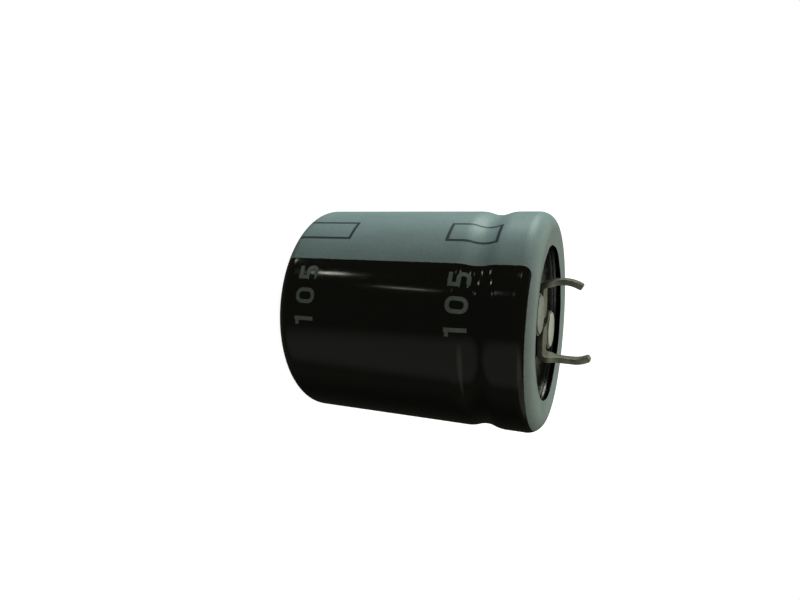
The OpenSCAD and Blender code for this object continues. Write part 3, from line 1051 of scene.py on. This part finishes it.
def make_world(sizes):
    """White to the camera, a soft room for matte surfaces, and a dim room with lamps for gloss."""
    world = bpy.data.worlds.new("studio")
    bpy.context.scene.world = world
    w = Wiring(world)
    way = w.add("ShaderNodeTexCoord").outputs["Generated"]
    sky = w.step(w.dot(way, direction(-36, 25)), -0.7, 1.0, 0.5, 1.4)
    sky = w.blend(w.times(sky, sizes.sky), BLACK, (1.0, 1.0, 0.97))
    over_rim = w.step(w.dot(way, direction(90, 75)), 0.4, 1.0, 0.0, 5.0 * sizes.sky)
    over_rim = w.blend(over_rim, BLACK, (1.12, 1.0, 0.92))
    soft_sky = w.vector("ADD", {0: sky, 1: over_rim})

    dim = w.step(w.dot(way, direction(-150, -20)), 0.6, 0.95, 0.07 * sizes.room, 0.02 * sizes.room)
    back = w.step(w.dot(way, direction(-90, 60)), 0.5, 1.0, 0.0, 0.58 * sizes.room)
    gloss = w.blend(w.plus(dim, back), BLACK, (0.95, 1.0, 0.78))
    for *lamp, strength in ROOM_LAMPS:
        bright = w.times(lamp_share(w, way, *lamp), strength)
        light = w.vector("SCALE", {0: (0.93, 1.0, 0.85), "Scale": bright})
        gloss = w.vector("ADD", {0: gloss, 1: light})

    rays = w.add("ShaderNodeLightPath").outputs
    seen = w.blend(rays["Is Glossy Ray"], soft_sky, gloss)
    plain = w.highest(rays["Is Camera Ray"], rays["Is Transmission Ray"])
    seen = w.blend(plain, seen, WHITE)
    background = w.add("ShaderNodeBackground", {"Color": seen, "Strength": 1.0})
    w.add("ShaderNodeOutputWorld", {"Surface": background.outputs[0]})


def make_floor(sizes):
    """A pale floor, white to the camera apart from the object's soft shadow."""
    half = 3.0
    corners = [(x * half, y * half, 0) for x, y in ((-1, -1), (1, -1), (1, 1), (-1, 1))]
    mesh = new_mesh("floor", corners, [(0, 1, 2, 3)])
    floor = new_object("floor", mesh)
    # The film mirrors the room and not the floor, and the low key lamp shines past its edge.
    floor.visible_glossy = False
    floor.visible_shadow = False
    w = new_material("pale_floor")
    speckle = w.step(w.grain(w.object_place(), 0.05, 3.0), 0.3, 0.7, 0.94, 0.98)
    camera = w.add("ShaderNodeLightPath").outputs["Is Camera Ray"]
    paint = w.blend(camera, (0.15, 0.15, 0.15), w.blend(speckle, BLACK, WHITE))
    lit = w.add("ShaderNodeBsdfDiffuse", {"Color": paint}).outputs[0]
    white = w.add("ShaderNodeEmission", {"Color": (*WHITE, 1.0), "Strength": 1.88}).outputs[0]
    factor = w.times(camera, 1.0 - sizes.floor)
    surface = w.add("ShaderNodeMixShader", {0: factor, 1: lit, 2: white}).outputs[0]
    w.add("ShaderNodeOutputMaterial", {"Surface": surface})
    mesh.materials.append(w.owner)


def make_lamp(name, towards, distance, power, tint):
    """A square soft lamp that looks at the object. Gloss mirrors the world's lamps instead."""
    light = bpy.data.lights.new(name, "AREA")
    light.shape = "SQUARE"
    light.size = LAMP_SIDE
    light.energy = power
    light.color = tint
    lamp = new_object(name, light)
    lamp.location = Vector((0, 0, RIM_Z / 2)) + towards * distance
    lamp.rotation_euler = (-towards).to_track_quat("-Z", "Y").to_euler()
    lamp.visible_glossy = False


def make_camera(sizes):
    """The photograph's viewpoint: the can lies across the picture with its terminals to the right."""
    data = bpy.data.cameras.new("camera")
    data.lens = sizes.lens / MM
    data.sensor_width = 36.0
    data.clip_start = 5 * MM
    camera = new_object("camera", data)
    camera.location = Vector(CAMERA_AT) * MM
    camera.rotation_euler = [math.radians(a) for a in CAMERA_TURN]
    bpy.context.scene.camera = camera


def make_stage():
    """World, floor, lamps, camera and view settings."""
    sizes = bpy.context.scene.capacitor_stage
    make_world(sizes)
    make_floor(sizes)
    make_lamp("key_lamp", direction(-36, 6), 0.3, sizes.key, (0.94, 1.0, 1.06))
    make_lamp("back_lamp", direction(-125, 15), 0.35, sizes.fill, (0.98, 1.0, 1.0))
    make_camera(sizes)
    bpy.context.scene.view_settings.view_transform = "Standard"


class CAPACITOR_OT_sleeve(bpy.types.Operator):
    """Make the printed film that is shrunk round the can"""

    bl_idname = "capacitor.sleeve"
    bl_label = "Sleeve film"

    def execute(self, context):
        make_sleeve()
        return {"FINISHED"}


class CAPACITOR_OT_terminals(bpy.types.Operator):
    """Make the two stamped and tinned terminals"""

    bl_idname = "capacitor.terminals"
    bl_label = "Terminals"

    def execute(self, context):
        make_terminals()
        return {"FINISHED"}


class CAPACITOR_OT_rivets(bpy.types.Operator):
    """Make the two pressed rivets"""

    bl_idname = "capacitor.rivets"
    bl_label = "Rivets"

    def execute(self, context):
        make_rivets()
        return {"FINISHED"}


class CAPACITOR_OT_seal(bpy.types.Operator):
    """Give the rubber of the end seal its finish"""

    bl_idname = "capacitor.seal"
    bl_label = "Seal rubber"

    def execute(self, context):
        finish_nodes(rubber_material(context.scene.capacitor_metals), "seal_rubber")
        return {"FINISHED"}


class CAPACITOR_OT_inside(bpy.types.Operator):
    """Give the can and all that it holds their finishes"""

    bl_idname = "capacitor.inside"
    bl_label = "Can and inside"

    def execute(self, context):
        make_hidden_finishes()
        return {"FINISHED"}


class CAPACITOR_OT_stage(bpy.types.Operator):
    """Make the floor, the lamps and the camera"""

    bl_idname = "capacitor.stage"
    bl_label = "Stage"

    def execute(self, context):
        make_stage()
        return {"FINISHED"}


SETTINGS = {
    "capacitor_film": FilmSizes,
    "capacitor_print": PrintSizes,
    "capacitor_colours": FilmColours,
    "capacitor_blades": BladeSizes,
    "capacitor_negative": NegativeBlade,
    "capacitor_positive": PositiveBlade,
    "capacitor_rivets": RivetSizes,
    "capacitor_metals": MetalColours,
    "capacitor_stage": StageSizes,
}

OPERATORS = (
    CAPACITOR_OT_sleeve,
    CAPACITOR_OT_terminals,
    CAPACITOR_OT_rivets,
    CAPACITOR_OT_seal,
    CAPACITOR_OT_inside,
    CAPACITOR_OT_stage,
)


class CAPACITOR_PT_panel(bpy.types.Panel):
    """Lists the pieces and their sizes"""

    bl_label = "Capacitor"
    bl_space_type = "VIEW_3D"
    bl_region_type = "UI"
    bl_category = "Capacitor"

    def draw(self, context):
        layout = self.layout
        for operator in OPERATORS:
            layout.operator(operator.bl_idname)
        for name, group in SETTINGS.items():
            box = layout.box()
            box.label(text=group.__doc__)
            for key in group.__annotations__:
                box.prop(getattr(context.scene, name), key)


def register():
    for item in (*SETTINGS.values(), *OPERATORS, CAPACITOR_PT_panel):
        bpy.utils.register_class(item)
    for name, group in SETTINGS.items():
        setattr(bpy.types.Scene, name, PointerProperty(type=group))


def unregister():
    for name in SETTINGS:
        delattr(bpy.types.Scene, name)
    for item in (CAPACITOR_PT_panel, *reversed(OPERATORS), *reversed(list(SETTINGS.values()))):
        bpy.utils.unregister_class(item)


def main():
    """Registers the add-on and makes every piece."""
    register()
    bpy.ops.capacitor.sleeve()
    bpy.ops.capacitor.terminals()
    bpy.ops.capacitor.rivets()
    bpy.ops.capacitor.seal()
    bpy.ops.capacitor.inside()
    bpy.ops.capacitor.stage()


if __name__ == "__main__":
    main()
